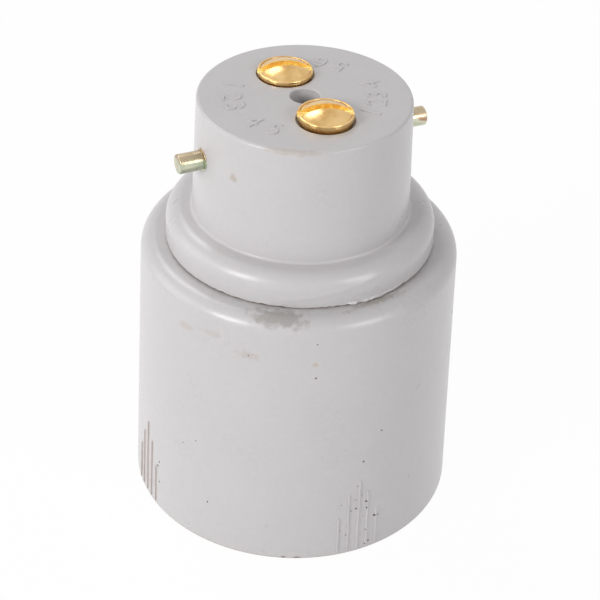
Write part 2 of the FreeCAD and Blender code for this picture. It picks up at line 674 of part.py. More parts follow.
def make_centre_contact():
    """A brass strip folded back round its nut, with a sloping arm that meets the lamp's tip."""
    body = new_body("centre_contact")
    path = sketch_on(body, "strip_path", "YZ_Plane")
    bent_line(path, [
        ("-strip_root_end", STRIP_ROOT),
        (f"-{FOLD_Y}", STRIP_ROOT),
        (f"-{FOLD_Y}", ARM_HEIGHT),
        ("-crown_offset", CROWN_HEIGHT),
        ("tip_offset", TIP_HEIGHT),
    ], ["strip_bend", "strip_bend", "strip_crown"])
    # The XZ plane's normal is -Y, so a positive offset lies on the front side.
    section = sketch_on(body, "strip_section", "XZ_Plane", "strip_root_end")
    outline(section, [
        ("-strip_width / 2", f"{FLOOR} - strip"),
        ("strip_width / 2", f"{FLOOR} - strip"),
        ("strip_width / 2", FLOOR),
        ("-strip_width / 2", FLOOR),
    ])
    doc.recompute()
    strip = body.newObject("PartDesign::AdditivePipe", "folded_strip")
    strip.Profile = section
    strip.Spine = (path, [f"Edge{number}" for number in range(1, len(path.Shape.Edges) + 1)])
    strip.Mode = "Standard"
    strip.Transition = "Right corner"
    doc.recompute()

    length = sum(edge.Length for edge in path.Shape.Edges)
    expected = length * value("strip * strip_width")
    if abs(strip.Shape.Volume / expected - 1) > 0.01:
        raise RuntimeError("the folded strip's volume doesn't match its length")

    # The four free corners: short edges through the strip at its two ends.
    corners = []
    for number, edge in enumerate(strip.Shape.Edges, 1):
        middle = edge.CenterOfMass
        through = abs(edge.Length - value("strip")) < SAME
        at_side = abs(abs(middle.x) - value("strip_width / 2")) < SAME
        straight = isinstance(edge.Curve, Part.Line)
        if through and at_side and straight:
            at_root = abs(middle.y + value("strip_root_end")) < SAME
            at_tip = abs(middle.y - value("tip_offset")) < value("strip")
            if at_root or at_tip:
                corners.append(f"Edge{number}")
    rounded = body.newObject("PartDesign::Fillet", "strip_corners")
    rounded.Base = (strip, corners)
    bind(rounded, "Radius", "strip_end_rounding")
    doc.recompute()

    hole = sketch_on(body, "strip_hole", "XY_Plane", FLOOR)
    circle(hole, "0", f"-{SCREW_Y}", SCREW_HOLE)
    pierced = body.newObject("PartDesign::Pocket", "strip_hole_cut")
    pierced.Profile = hole
    pierced.Type = "Length"
    bind(pierced, "Length", "2 * strip")
    doc.recompute()
    return body


sub_parts = [
    make_sleeve(),
    make_bayonet_cap(),
    make_bayonet_pin("bayonet_pin_right", 0),
    make_bayonet_pin("bayonet_pin_left", 180),
    make_contact_screw("contact_screw_front", "-1", "front_screw_lift", "front_slot_turn"),
    make_contact_screw("contact_screw_rear", "1", "0", "rear_slot_turn"),
    make_contact_nut("contact_nut_front", "-1", f"({FLOOR} - strip)"),
    make_contact_nut("contact_nut_rear", "1", f"({FLOOR} - sheet)"),
    make_thread_shell(),
    make_centre_contact(),
]
doc.recompute()

# Nothing is written unless every object is sound and every sub-part is one valid solid.
for thing in doc.Objects:
    if "Invalid" in thing.State or "Error" in thing.State:
        raise RuntimeError(f"{thing.Name} failed: {thing.State}")
for sub_part in sub_parts:
    shape = sub_part.Shape
    if shape.isNull() or not shape.isValid():
        raise RuntimeError(f"{sub_part.Label} has no valid shape")
    if len(shape.Solids) != 1:
        raise RuntimeError(f"{sub_part.Label} has {len(shape.Solids)} solids")

os.makedirs("parts", exist_ok=True)
for sub_part in sub_parts:
    sub_part.Shape.exportStep(f"parts/{sub_part.Label}.step")
    print(f"{sub_part.Label}: {sub_part.Shape.Volume:.2f} mm3")
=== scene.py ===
import math
import random

import bpy
from bpy.props import FloatProperty, FloatVectorProperty, IntProperty, PointerProperty
from mathutils import Euler, Matrix, Vector, noise


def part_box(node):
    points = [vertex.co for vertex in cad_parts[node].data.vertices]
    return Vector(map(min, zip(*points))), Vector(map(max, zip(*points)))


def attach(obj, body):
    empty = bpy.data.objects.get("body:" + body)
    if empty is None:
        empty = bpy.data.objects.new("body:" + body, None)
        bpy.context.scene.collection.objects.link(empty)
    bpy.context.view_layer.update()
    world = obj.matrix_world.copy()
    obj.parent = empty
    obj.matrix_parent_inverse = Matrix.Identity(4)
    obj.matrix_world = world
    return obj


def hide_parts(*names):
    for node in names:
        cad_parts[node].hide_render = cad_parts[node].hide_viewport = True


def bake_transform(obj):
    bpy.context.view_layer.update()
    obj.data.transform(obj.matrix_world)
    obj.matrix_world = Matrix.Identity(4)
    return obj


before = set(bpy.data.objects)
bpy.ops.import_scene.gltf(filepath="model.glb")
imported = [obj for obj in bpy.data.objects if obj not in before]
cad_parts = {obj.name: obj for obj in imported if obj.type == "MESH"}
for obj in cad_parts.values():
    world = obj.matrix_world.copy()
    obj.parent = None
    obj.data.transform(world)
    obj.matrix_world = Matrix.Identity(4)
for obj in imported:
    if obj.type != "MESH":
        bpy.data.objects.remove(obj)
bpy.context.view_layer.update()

bl_info = {
    "name": "Lamp socket adapter",
    "version": (1, 0, 0),
    "blender": (4, 5, 0),
    "location": "3D View > Sidebar > Adapter",
    "description": "Builds a bayonet to screw lamp socket adapter round its packed model",
    "category": "Object",
}

# Lengths are in metres, and the origin is the centre of the open mouth. +Z runs up to the bayonet end,
# +X along the two pins, and -Y to the screw nearer the camera.
MM = 0.001
SLEEVE_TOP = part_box("sleeve")[1][2]
CAP_FOOT, CAP_TOP = (corner[2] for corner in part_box("bayonet_cap"))
COLLAR_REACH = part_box("bayonet_cap")[1][0]
PIN_START, PIN_END = (corner[0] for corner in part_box("bayonet_pin_right"))
PIN_HEIGHT = sum(corner[2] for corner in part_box("bayonet_pin_right")) / 2
SHELL_MOUTH, FLOOR = (corner[2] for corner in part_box("thread_shell"))
SCREWS = {"front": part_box("contact_screw_front"), "rear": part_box("contact_screw_rear")}
NUTS = {"front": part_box("contact_nut_front"), "rear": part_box("contact_nut_rear")}
SCREW_Y = (SCREWS["rear"][0][1] + SCREWS["rear"][1][1]) / 2
FOLD_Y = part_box("centre_contact")[0][1]

# A screw's seat to the highest points of its slotted head
HEAD_TOP = 1.7 * MM - 0.02 * MM

SEGMENTS = 384
MERGE = 1e-6
SCREW_HOLE = 1.6 * MM
NUT_BORE = 1.52 * MM
RIB_ANGLES = (0, 90, 180, 270)
RIB_TOPS = (5.2, 7.8, 9.6, 7.8, 5.2)
# The rib group that gets the brownish film and painted shade on one side
BROWN_RIBS = 180

# Each pit in the sleeve: angle from +X in degrees, height and width in millimetres
PITS = [
    (-96.4, 6.95, 0.2), (-90.5, 9.04, 0.26), (-91.1, 7.24, 0.24), (-90.8, 6.04, 0.34), (-92.7, 5.87, 0.24),
    (-88.7, 7.68, 0.22), (-86.9, 6.67, 0.36), (-86.6, 5.81, 0.26), (-87.8, 4.7, 0.22), (-83.3, 4.33, 0.38),
    (-81.7, 4.22, 0.24), (-86.7, 2.76, 0.24), (-85.2, 1.02, 0.34), (-86.8, 0.8, 0.24), (-94.3, 2.67, 0.24),
    (-96.5, 3.4, 0.22), (178.9, 4.58, 0.26), (179.8, 6.12, 0.26), (-177.0, 4.03, 0.3), (-170.6, 6.34, 0.26),
    (-171.5, 5.64, 0.34), (-170.2, 3.67, 0.28), (-145.3, 5.5, 0.24), (-157.0, 11.7, 0.2),
    (-151.0, 12.9, 0.18), (-88.7, 12.2, 0.28), (-82.0, 15.6, 0.24), (-107.7, 23.9, 0.26),
    (-107.6, 28.0, 0.18), (-131.3, 26.0, 0.18), (38.0, 14.0, 0.22), (104.0, 21.5, 0.24), (91.0, 5.2, 0.26),
    (86.5, 3.1, 0.22), (2.5, 6.2, 0.26), (-1.8, 2.9, 0.24),
]

# Each stain in the plastic: angle from +X in degrees, radius and height of its middle, its reach outward,
# round and up in millimetres, its colour and its strength
STAINS = [
    (-121, 15.5, 30.3, (1.9, 3.4, 0.9), "#A6A29F", 1.0),
    (-82, 14.3, 30.4, (0.5, 3.8, 0.4), "#9A9187", 0.6),
    (-152.7, 10.95, 42.0, (1.0, 0.5, 0.6), "#A08A72", 0.45),
    (-131.4, 16.56, 26.0, (1.0, 1.6, 0.5), "#B09F90", 0.3),
    (-157.3, 16.54, 26.7, (1.0, 1.3, 0.5), "#B09F90", 0.3),
    (-146.1, 16.52, 27.3, (1.0, 1.5, 0.45), "#B09F90", 0.25),
    (-107.9, 16.6, 25.5, (1.0, 0.35, 0.3), "#B8A184", 0.5),
    (-116.5, 17.24, 0.2, (1.0, 0.35, 0.25), "#6B5A48", 0.8),
    (-111.6, 17.24, 0.2, (1.0, 0.6, 0.25), "#7A6855", 0.8),
    (-120.0, 10.75, 46.4, (0.5, 6.0, 0.5), "#AE9A86", 0.35),
]

# Plain moulded numbers on the end face: angle from +X in degrees, radius in millimetres
NUMBERS_RIGHT = [(-48, 7.2), (-32, 7.2), (-19, 7.2), (-2, 7.2), (36, 7.2), (53, 7.2)]
NUMBERS_LEFT = [(142, 7.45), (162, 7.45), (176, 7.45), (203, 7.45), (222, 7.45)]

# The middle of the collar's flash and of its flow line, and where that line starts, from +X in degrees
FLASH_ANGLE = -82
FLOW_ANGLE = -100
FLOW_START = -122

# Each softbox: name, azimuth and elevation in degrees, side in metres and power in watts
SOFTBOXES = [
    ("softbox_left", -72, 25, 0.2, 1.7),
    ("softbox_right", 25, 28, 0.22, 0.95),
    ("softbox_side", -118, 12, 0.4, 0.8),
    ("softbox_back", -174, 50, 0.22, 0.7),
]
SOFTBOX_DISTANCE = 0.6
SOFTBOX_AIM = Vector((0, 0, 22 * MM))

# The light of the surroundings, the share of the paper that is plain white to the camera, and its fibres
SURROUNDINGS = 0.36
PAPER_GLOW = 0.96
PAPER_FIBRE = (0.93, 0.93, 0.93, 1)

# The camera: azimuth, elevation and roll in degrees, and the point that it looks at
CAMERA_ANGLES = (-25.5, 35.82, 2.42)
CAMERA_AIM = Vector((0.316, -0.151, 21.493)) * MM
CAMERA_DISTANCE = 199.98 * MM
CAMERA_LENS = 112.3


def linear(code):
    """The linear colour, with an alpha of 1, that an sRGB hex value stands for."""
    parts = [int(code[place:place + 2], 16) / 255 for place in (1, 3, 5)]
    return (*(part / 12.92 if part <= 0.04045 else ((part + 0.055) / 1.055) ** 2.4 for part in parts), 1.0)


# Sizes and colours

def length(name, description, millimetres):
    return FloatProperty(name=name, description=description, default=millimetres * MM, min=0.0, precision=6,
                         unit="LENGTH")


def colour(name, description, code):
    return FloatVectorProperty(name=name, description=description, default=linear(code), min=0.0, max=1.0,
                               size=4, subtype="COLOR")


class AdapterSizes(bpy.types.PropertyGroup):
    mouth_radius: length("Mouth radius", "Outside of the sleeve at its open mouth", 17.25)
    shoulder_radius: length("Shoulder radius", "Outside of the sleeve at its shoulder", 16.45)
    shoulder_rounding: length("Shoulder rounding", "Rounding of the shoulder's edge", 1.7)
    bore_mouth_radius: length("Bore at the mouth", "Inside of the sleeve at its mouth", 15.1)
    bore_floor_radius: length("Bore at the floor", "Inside of the sleeve under its floor", 14.6)
    seat_radius: length("Seat radius", "Recess in the shoulder for the cap", 11.1)
    rib_width: length("Rib width", "Width of one grip rib", 0.3)
    rib_pitch: length("Rib pitch", "Rib to rib round the sleeve", 1.1)
    collar_height: length("Collar height", "Shoulder to the top of the collar", 3.6)
    collar_rounding: length("Collar rounding", "Rounding of the collar's upper edge", 1.7)
    neck_base_radius: length("Neck at the collar", "Outside of the neck at its foot", 11.2)
    neck_top_radius: length("Neck at the end", "Outside of the neck at the end face", 10.8)
    end_wall: length("End wall", "Thickness of the end face", 3.0)
    cavity_radius: length("Cavity radius", "Inside of the cap at its open end", 8.9)
    number_height: length("Number height", "Height of the moulded numbers", 2.0)
    number_relief: length("Number relief", "How far the moulded numbers stand out", 0.09)
    pin_radius: length("Pin radius", "Free end of a bayonet pin", 1.0)
    head_radius: length("Screw head radius", "Rim of a contact screw", 2.82)
    rim_height: length("Rim height", "Straight side of a screw head", 1.0)
    dome_height: length("Dome height", "Dome of a screw head above its rim", 0.7)
    slot_width: length("Slot width", "Screwdriver slot", 0.95)
    slot_depth: length("Slot depth", "Slot below the top of the dome", 1.0)
    shank_radius: length("Shank radius", "Shank of a contact screw", 1.5)
    crest_radius: length("Thread crest radius", "Inside of the screw shell at the crests", 12.255)
    root_radius: length("Thread root radius", "Inside of the screw shell at the roots", 13.351)
    thread_pitch: length("Thread pitch", "Crest to crest along the shell", 3.629)
    sheet: length("Shell sheet", "Thickness of the screw shell", 0.35)
    strip: length("Contact strip", "Thickness of the centre contact", 0.5)
    strip_width: length("Contact width", "Width of the centre contact", 5.0)
    nut_flats: length("Nut across flats", "Across the flats of a contact nut", 5.5)
    rib_seed: IntProperty(name="Rib seed", description="Choice of the ribs' small irregularities", default=4)


class AdapterColours(bpy.types.PropertyGroup):
    plastic: colour("Plastic", "Light grey moulded housing", "#C2BFC0")
    plastic_pale: colour("Pale plastic", "Paler clouds in the moulding", "#C8C5C6")
    edge_dirt: colour("Edge dirt", "Brown edge of the mouth", "#A8937E")
    grime: colour("Grime", "Dirt in pits and seams", "#5F554B")
    grime_pale: colour("Pale grime", "Paler patches in that dirt", "#8B8178")
    # Film and pale film: partly a brown film, partly painted shade on one side of the left ribs.
    film: colour("Film", "Brown film on the left ribs", "#B3A094")
    film_pale: colour("Pale film", "Thinner patches of that film", "#C0B8B4")
    brass: colour("Polished brass", "Screw heads", "#E2C086")
    brass_shade: colour("Brass shade", "Darker patches of the screw heads", "#C79E63")
    slot_brass: colour("Slot brass", "Cut faces inside the slots", "#FFEFAE")
    slot_shade: colour("Slot shade", "Darker patches of the cut faces", "#EBBE66")
    zinc_yellow: colour("Passivated yellow", "Yellow film on the pins", "#D6D3BC")
    zinc_pink: colour("Passivated pink", "Pink film on the pins", "#B08F74")
    # Painted shade: this brown is laid on the upper side of the pins by height.
    zinc_brown: colour("Passivated brown", "Brown film on the upper side of the pins", "#A98866")
    zinc_green: colour("Passivated green", "Green film on the pins", "#B6BEA6")
    aluminium: colour("Aluminium", "Screw shell", "#C9CACC")
    aluminium_shade: colour("Aluminium shade", "Darker patches of the shell", "#A9AAAD")
    strip_brass: colour("Strip brass", "Centre contact", "#CDAA62")
    strip_shade: colour("Strip shade", "Darker patches of the contact", "#A98345")
    nut_brass: colour("Nut brass", "Nuts", "#BF9C58")
    nut_shade: colour("Nut shade", "Darker patches of the nuts", "#947341")
    floor: colour("Floor", "Floor and background", "#F4F4F4")


# Modelling tools

def deselect():
    if bpy.context.mode != "OBJECT":
        bpy.ops.object.mode_set(mode="OBJECT")
    bpy.ops.object.select_all(action="DESELECT")


def take(*pieces):
    """Select only these pieces, and make the first one active."""
    deselect()
    for piece in pieces:
        piece.select_set(True)
    bpy.context.view_layer.objects.active = pieces[0]


def name_new(name):
    piece = bpy.context.object
    piece.name = name
    piece.data.name = name
    return piece


def open_mesh(kind=None):
    """Edit the active mesh with all of it selected, by vertex, edge or face if a kind is given."""
    bpy.ops.object.mode_set(mode="EDIT")
    if kind:
        bpy.ops.mesh.select_mode(type=kind)
    bpy.ops.mesh.select_all(action="SELECT")


def close_mesh(merge=False):
    """Turn all faces of the mesh in edit mode outwards, after merging its doubles if asked, and leave it."""
    bpy.ops.mesh.select_all(action="SELECT")
    if merge:
        bpy.ops.mesh.remove_doubles(threshold=MERGE)
    bpy.ops.mesh.normals_make_consistent()
    bpy.ops.object.mode_set(mode="OBJECT")


def polar(angle, radius, up):
    """The point at an angle from +X in degrees, a radius and a height."""
    turn = math.radians(angle)
    return Vector((radius * math.cos(turn), radius * math.sin(turn), up))


def rounded(corners, steps=6):
    """The points of an outline, with an arc at each corner that gives a radius as its third number."""
    points = []
    for number, corner in enumerate(corners):
        here = Vector(corner[:2])
        if len(corner) == 2:
            points.append(here)
            continue
        back = (Vector(corners[number - 1][:2]) - here).normalized()
        ahead = (Vector(corners[number + 1][:2]) - here).normalized()
        half = back.angle(ahead) / 2
        reach = corner[2] / math.tan(half)
        middle = here + (back + ahead).normalized() * (corner[2] / math.sin(half))
        start = here + back * reach - middle
        end = here + ahead * reach - middle
        # slerp gives a vector of length 1.
        points += [middle + start.slerp(end, step / steps) * corner[2] for step in range(steps + 1)]
    return points


def finer(points, longest):
    """The same points, with more on every run that is longer than given."""
    result = [points[0]]
    for start, end in zip(points, points[1:]):
        runs = max(1, math.ceil((end - start).length / longest - 1e-6))
        result += [start.lerp(end, step / runs) for step in range(1, runs + 1)]
    return result


def draw_line(name, points, plane="XZ"):
    """An open line of edges, made from one point by extruding it again and again. It stays in edit mode."""
    deselect()
    places = [Vector((across, 0, up) if plane == "XZ" else (0, across, up)) for across, up in points]
    bpy.ops.mesh.primitive_plane_add(size=MM, location=places[0])
    piece = name_new(name)
    bpy.ops.object.transform_apply()
    open_mesh("VERT")
    bpy.ops.mesh.merge(type="CENTER")
    for start, end in zip(places, places[1:]):
        bpy.ops.mesh.extrude_vertices_move(TRANSFORM_OT_translate={"value": end - start})
    return piece


def turned(name, points, segments=SEGMENTS):
    """A piece turned about +Z: its outline is drawn as a line and spun through a full turn."""
    piece = draw_line(name, points)
    bpy.ops.mesh.select_all(action="SELECT")
    bpy.ops.mesh.spin(steps=segments, angle=math.tau, center=(0, 0, 0), axis=(0, 0, 1))
    close_mesh(merge=True)
    return piece


def place(piece, at=(0, 0, 0), turn=(0, 0, 0), scale=(1, 1, 1)):
    """Turn and move a piece, and put its place into its mesh."""
    take(piece)
    piece.matrix_world = Matrix.LocRotScale(Vector(at), Euler(turn), Vector(scale)) @ piece.matrix_world
    bpy.ops.object.transform_apply()
    return piece


def rod(name, radius, depth, at, turn=(0, 0, 0), sides=64):
    """A cylinder to cut from a piece or to melt into it."""
    bpy.ops.mesh.primitive_cylinder_add(vertices=sides, radius=radius, depth=depth)
    return place(name_new(name), at, turn)


def block(name, at, scale):
    """A cuboid to melt into a piece."""
    bpy.ops.mesh.primitive_cube_add(size=1)
    return place(name_new(name), at, scale=scale)


def copy_of(piece, name):
    """A copy with a mesh of its own."""
    take(piece)
    bpy.ops.object.duplicate()
    return name_new(name)


def joined(pieces):
    take(*pieces)
    if len(pieces) > 1:
        bpy.ops.object.join()
    return bpy.context.object


def carve(piece, tools, operation="DIFFERENCE"):
    """Cut tools from a piece, or melt them into it. A tool's material goes to the faces that it leaves."""
    tool = joined(tools)
    before = len(piece.data.polygons)
    apply_modifier(piece, "BOOLEAN", operation=operation, solver="EXACT", object=tool,
                   material_mode="TRANSFER" if tool.data.materials else "INDEX")
    if len(piece.data.polygons) in (0, before):
        raise RuntimeError(f"{operation.lower()} of {tool.name} changes nothing in {piece.name}")
    bpy.data.objects.remove(tool)


def apply_modifier(piece, kind, **settings):
    take(piece)
    bpy.ops.object.modifier_add(type=kind)
    modifier = piece.modifiers[-1]
    for setting, value in settings.items():
        setattr(modifier, setting, value)
    bpy.ops.object.modifier_apply(modifier=modifier.name)


def shift(piece, move):
    """Move each vertex of a piece by what a function of its place gives."""
    for vertex in piece.data.vertices:
        vertex.co += move(vertex.co)
    piece.data.update()


def smooth(piece, angle=30.0):
    take(piece)
    bpy.ops.object.shade_smooth_by_angle(angle=math.radians(angle))


def dress(piece, *materials):
    """Give a piece its materials in order. Faces keep their numbers."""
    piece.data.materials.clear()
    for material in materials:
        piece.data.materials.append(material)


def finish_piece(piece, nodes, body="adapter"):
    """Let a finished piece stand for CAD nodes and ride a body."""
    if piece.matrix_world != Matrix.Identity(4):
        raise RuntimeError(f"{piece.name} isn't at the origin")
    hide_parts(*nodes)
    if body:
        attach(piece, body)


def ease(edge, start, end):
    """0 before start, 1 after end, and smooth between."""
    share = min(1.0, max(0.0, (edge - start) / (end - start)))
    return share * share * (3 - 2 * share)


# Materials

def add_node(tree, kind, inputs=None, **settings):
    """Add a node, set its properties, and fill inputs with values, sockets or the outputs of nodes."""
    node = tree.nodes.new("ShaderNode" + kind)
    for setting, value in settings.items():
        setattr(node, setting, value)
    for key, value in (inputs or {}).items():
        if isinstance(value, bpy.types.Node):
            value = next(socket for socket in value.outputs if socket.enabled)
        if isinstance(value, bpy.types.NodeSocket):
            tree.links.new(value, node.inputs[key])
        else:
            node.inputs[key].default_value = value
    return node


def material(name):
    """Make a function that adds nodes and returns the last one into one that returns the whole material."""
    def wrap(fill):
        def get():
            made = bpy.data.materials.get(name)
            if made is None:
                made = bpy.data.materials.new(name)
                made.use_nodes = True
                tree = made.node_tree
                tree.nodes.clear()
                coords = add_node(tree, "TexCoord").outputs["Object"]
                surface = fill(tree, coords, bpy.context.scene.adapter_colours)
                add_node(tree, "OutputMaterial", {"Surface": surface})
            return made
        return get
    return wrap


def stain(tree, coords, base, angle, radius, up, reach, code, strength):
    """Lay a colour over the base inside an uneven patch. Returns the new base."""
    local = add_node(tree, "Mapping", {
        "Vector": coords, "Location": polar(angle, radius * MM, up * MM),
        "Rotation": (0, 0, math.radians(angle)),
        "Scale": [part * MM for part in reach]}, vector_type="TEXTURE")
    away = add_node(tree, "VectorMath", {0: local}, operation="LENGTH")
    edge = add_node(tree, "TexNoise", {"Vector": coords, "Scale": 1 / (0.6 * MM), "Detail": 4.0})
    ragged = add_node(tree, "Math", {0: edge, 1: 1.6, 2: away}, operation="MULTIPLY_ADD")
    share = add_node(tree, "MapRange", {"Value": ragged, "From Min": 1.9, "From Max": 1.2,
                                        "To Max": strength}, interpolation_type="SMOOTHSTEP")
    return add_node(tree, "Mix", {"Factor": share, "A": base, "B": linear(code)}, data_type="RGBA")


@material("moulded_urea_satin")
def moulded_plastic(tree, coords, colours):
    """Urea moulding compound from a polished steel mould: a satin skin with faint clouds, a slight waviness
    that breaks up its highlights, a brown edge at the mouth, and stains."""
    clouds = add_node(tree, "TexNoise", {"Vector": coords, "Scale": 1 / (6 * MM), "Detail": 4.0,
                                         "Roughness": 0.55})
    flecks = add_node(tree, "TexNoise", {"Vector": coords, "Scale": 1 / (0.6 * MM), "Detail": 2.0})
    share = add_node(tree, "Math", {0: clouds, 1: flecks}, operation="ADD")
    clouded = add_node(tree, "MapRange", {"Value": share, "From Min": 0.5, "From Max": 1.5})
    base = add_node(tree, "Mix", {"Factor": clouded, "A": colours.plastic, "B": colours.plastic_pale},
                    data_type="RGBA")
    flat = add_node(tree, "VectorMath", {0: coords, 1: (1, 1, 0)}, operation="MULTIPLY")
    reach = add_node(tree, "VectorMath", {0: flat}, operation="LENGTH")
    parts = add_node(tree, "SeparateXYZ", {0: coords})
    low_band = add_node(tree, "MapRange", {"Value": parts.outputs["Z"], "From Min": 0.35 * MM,
                                           "From Max": 0.1 * MM, "To Max": 0.55})
    outer = add_node(tree, "MapRange", {"Value": reach, "From Min": 16.8 * MM, "From Max": 17.05 * MM})
    dirty = add_node(tree, "Math", {0: low_band, 1: outer}, operation="MULTIPLY")
    final = add_node(tree, "Mix", {"Factor": dirty, "A": base, "B": colours.edge_dirt}, data_type="RGBA")
    for row in STAINS:
        final = stain(tree, coords, final, *row)
    ripples = add_node(tree, "TexNoise", {"Vector": coords, "Scale": 1 / (0.8 * MM), "Detail": 2.0})
    grain = add_node(tree, "TexNoise", {"Vector": coords, "Scale": 1 / (0.35 * MM), "Detail": 3.0})
    waves = add_node(tree, "TexNoise", {"Vector": coords, "Scale": 1 / (5 * MM), "Detail": 1.0})
    height = add_node(tree, "Math", {0: grain, 1: 0.0012 * MM}, operation="MULTIPLY")
    for pattern, depth in ((ripples, 0.014 * MM), (waves, 0.05 * MM)):
        height = add_node(tree, "Math", {0: pattern, 1: depth, 2: height}, operation="MULTIPLY_ADD")
    bump = add_node(tree, "Bump", {"Strength": 1.0, "Distance": 1.0, "Height": height})
    rough = add_node(tree, "MapRange", {"Value": clouds, "From Min": 0.1, "From Max": 0.9, "To Min": 0.22,
                                        "To Max": 0.38})
    return add_node(tree, "BsdfPrincipled", {"Base Color": final, "Roughness": rough, "Normal": bump,
                                             "IOR": 1.5})


@material("packed_grime_dull")
def seam_grime(tree, coords, colours):
    """Dirt packed into pits and into the gap under the collar: dark, dull and uneven."""
    patches = add_node(tree, "TexNoise", {"Vector": coords, "Scale": 1 / (0.8 * MM), "Detail": 3.0})
    share = add_node(tree, "MapRange", {"Value": patches, "From Min": 0.35, "From Max": 0.65})
    base = add_node(tree, "Mix", {"Factor": share, "A": colours.grime, "B": colours.grime_pale},
                    data_type="RGBA")
    bump = add_node(tree, "Bump", {"Strength": 0.6, "Distance": 0.02 * MM, "Height": patches})
    return add_node(tree, "BsdfPrincipled", {"Base Color": base, "Roughness": 0.85, "Normal": bump})


@material("brown_film_and_painted_shade")
def rib_grime(tree, coords, colours):
    """A dull brownish colour along one side of the ribs on the left: partly a brown film on them, partly
    painted shade on the side where their shade falls.
    """
    patches = add_node(tree, "TexNoise", {"Vector": coords, "Scale": 1 / (1.2 * MM), "Detail": 3.0})
    base = add_node(tree, "Mix", {"Factor": patches, "A": colours.film, "B": colours.film_pale},
                    data_type="RGBA")
    return add_node(tree, "BsdfPrincipled", {"Base Color": base, "Roughness": 0.6})


def metal(tree, vector, base, rough_low, rough_high, grain, depth):
    """A metal skin over a base colour, with a fine grain that gives its bump and its roughness."""
    marks = add_node(tree, "TexNoise", {"Vector": vector, "Scale": 1 / grain, "Detail": 3.0})
    bump = add_node(tree, "Bump", {"Strength": 1.0, "Distance": depth, "Height": marks})
    rough = add_node(tree, "MapRange", {"Value": marks, "From Min": 0.3, "From Max": 0.7,
                                        "To Min": rough_low, "To Max": rough_high})
    return add_node(tree, "BsdfPrincipled", {"Base Color": base, "Metallic": 1.0, "Roughness": rough,
                                             "Normal": bump})


def patchy_metal(tree, coords, tone, shade, patch, rough_low, rough_high, grain, depth, stretch=(1, 1, 1)):
    """A metal whose tone changes in patches, over a fine grain that may be stretched."""
    patches = add_node(tree, "TexNoise", {"Vector": coords, "Scale": 1 / patch, "Detail": 4.0})
    share = add_node(tree, "MapRange", {"Value": patches, "From Min": 0.35, "From Max": 0.7})
    base = add_node(tree, "Mix", {"Factor": share, "A": tone, "B": shade}, data_type="RGBA")
    lines = add_node(tree, "Mapping", {"Vector": coords, "Scale": stretch})
    return metal(tree, lines, base, rough_low, rough_high, grain, depth)


@material("tumbled_brass_bright")
def polished_brass(tree, coords, colours):
    """Brass screws, turned and tumbled bright: pale gold with a soft gloss and fine scratches."""
    return patchy_metal(tree, coords, colours.brass, colours.brass_shade, 1.6 * MM, 0.18, 0.3, 0.12 * MM,
                        0.0015 * MM, (1.0, 0.35, 1.0))


@material("sawn_brass_raw")
def slot_brass(tree, coords, colours):
    """The sawn faces of a slot: raw yellow brass, rougher than the heads."""
    return patchy_metal(tree, coords, colours.slot_brass, colours.slot_shade, 0.5 * MM, 0.3, 0.5, 0.1 * MM,
                        0.012 * MM)


@material("zinc_plate_yellow_passivated")
def passivated_zinc(tree, coords, colours):
    """Steel pins with zinc plate, passivated yellow: a thin film whose tint drifts from yellow to pink and
    green over a millimetre or so, with painted shade that turns the upper side brown."""
    along = add_node(tree, "Mapping", {"Vector": coords, "Scale": (0.5, 1.0, 1.0)})
    film = add_node(tree, "TexNoise", {"Vector": along, "Scale": 1 / (1.3 * MM), "Detail": 2.0,
                                       "Distortion": 0.4})
    pink = add_node(tree, "MapRange", {"Value": film, "From Min": 0.5, "From Max": 0.62})
    green = add_node(tree, "MapRange", {"Value": film, "From Min": 0.48, "From Max": 0.36})
    parts = add_node(tree, "SeparateXYZ", {0: coords})
    # Painted shade: from a little above each pin's axis upward, the colour turns brown.
    upper = add_node(tree, "MapRange", {
        "Value": parts.outputs["Z"], "From Min": PIN_HEIGHT + 0.25 * MM, "From Max": PIN_HEIGHT + 0.6 * MM,
        "To Max": 0.6}, interpolation_type="SMOOTHSTEP")
    base = colours.zinc_yellow
    for share, tint in ((pink, colours.zinc_pink), (green, colours.zinc_green), (upper, colours.zinc_brown)):
        base = add_node(tree, "Mix", {"Factor": share, "A": base, "B": tint}, data_type="RGBA")
    return metal(tree, along, base, 0.18, 0.32, 0.15 * MM, 0.003 * MM)


@material("rolled_aluminium_bright")
def rolled_aluminium(tree, coords, colours):
    """Aluminium sheet, drawn and thread-rolled: bright, with fine marks that run round the shell."""
    return patchy_metal(tree, coords, colours.aluminium, colours.aluminium_shade, 4 * MM, 0.22, 0.4,
                        0.25 * MM, 0.004 * MM, (0.3, 0.3, 2.0))


@material("rolled_brass_strip")
def strip_brass(tree, coords, colours):
    """Hard-rolled brass strip: a deeper gold than the screws, with marks along the strip."""
    return patchy_metal(tree, coords, colours.strip_brass, colours.strip_shade, 2 * MM, 0.24, 0.42, 0.2 * MM,
                        0.004 * MM, (2.0, 0.3, 0.3))


@material("turned_brass_plain")
def nut_brass(tree, coords, colours):
    """Brass nuts cut from bar: plain turned faces, a little dull."""
    return patchy_metal(tree, coords, colours.nut_brass, colours.nut_shade, 1.5 * MM, 0.3, 0.5, 0.15 * MM,
                        0.005 * MM)


def shows_background(tree):
    """1 for camera, glossy and transmission rays, which see the background as plain white, 0 for the rest."""
    paths = add_node(tree, "LightPath").outputs
    seen = add_node(tree, "Math", {0: paths["Is Camera Ray"], 1: paths["Is Glossy Ray"]}, operation="MAXIMUM")
    return add_node(tree, "Math", {0: seen, 1: paths["Is Transmission Ray"]}, operation="MAXIMUM")


